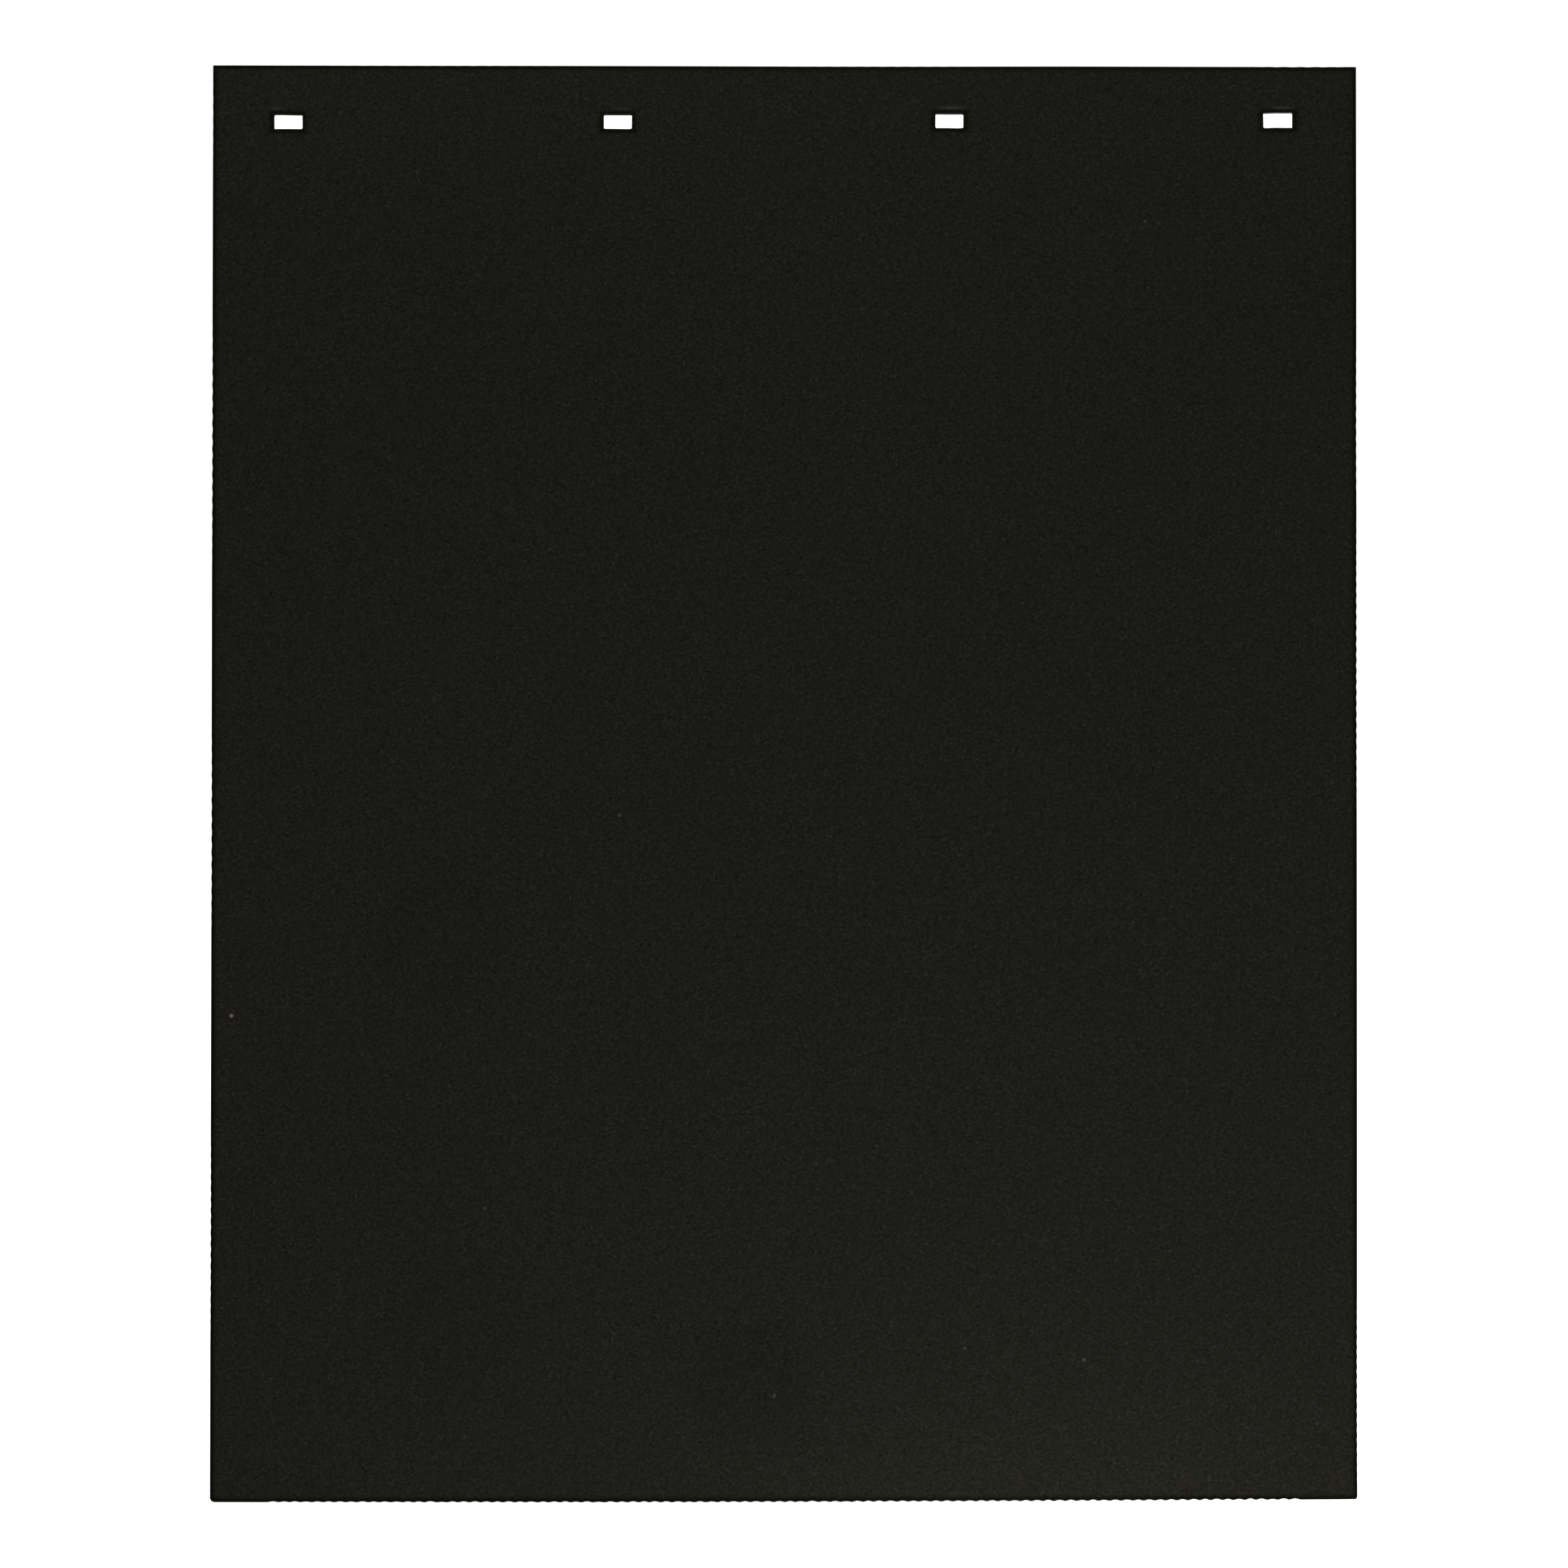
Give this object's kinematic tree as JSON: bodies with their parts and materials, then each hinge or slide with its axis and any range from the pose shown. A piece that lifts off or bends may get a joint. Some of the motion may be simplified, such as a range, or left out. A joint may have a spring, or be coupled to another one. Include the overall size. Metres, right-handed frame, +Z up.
{
  "type": "mud flap",
  "caption": "Rectangular ply-reinforced rubber mud flap for a truck or trailer, with a row of bolt slots along its top edge and a scalloped bottom edge.",
  "frame": {"origin": "middle of the slot row on the flap's back face, where the hanger holds it", "axes": "+Z up along the hanging flap, +X to the right seen from the front, +Y out of the back face, so the front face looks along -Y"},
  "size_m": [0.6096, 0.0063, 0.762],
  "materials": {
    "cover_rubber": "matte",
    "ply_fabric": "matte",
    "gum_rubber": "matte"
  },
  "bodies": {
    "root": {"front_cover": "cover_rubber", "front_ply": "ply_fabric", "tie_gum": "gum_rubber", "back_ply": "ply_fabric", "back_cover": "cover_rubber"}
  },
  "joints": []
}
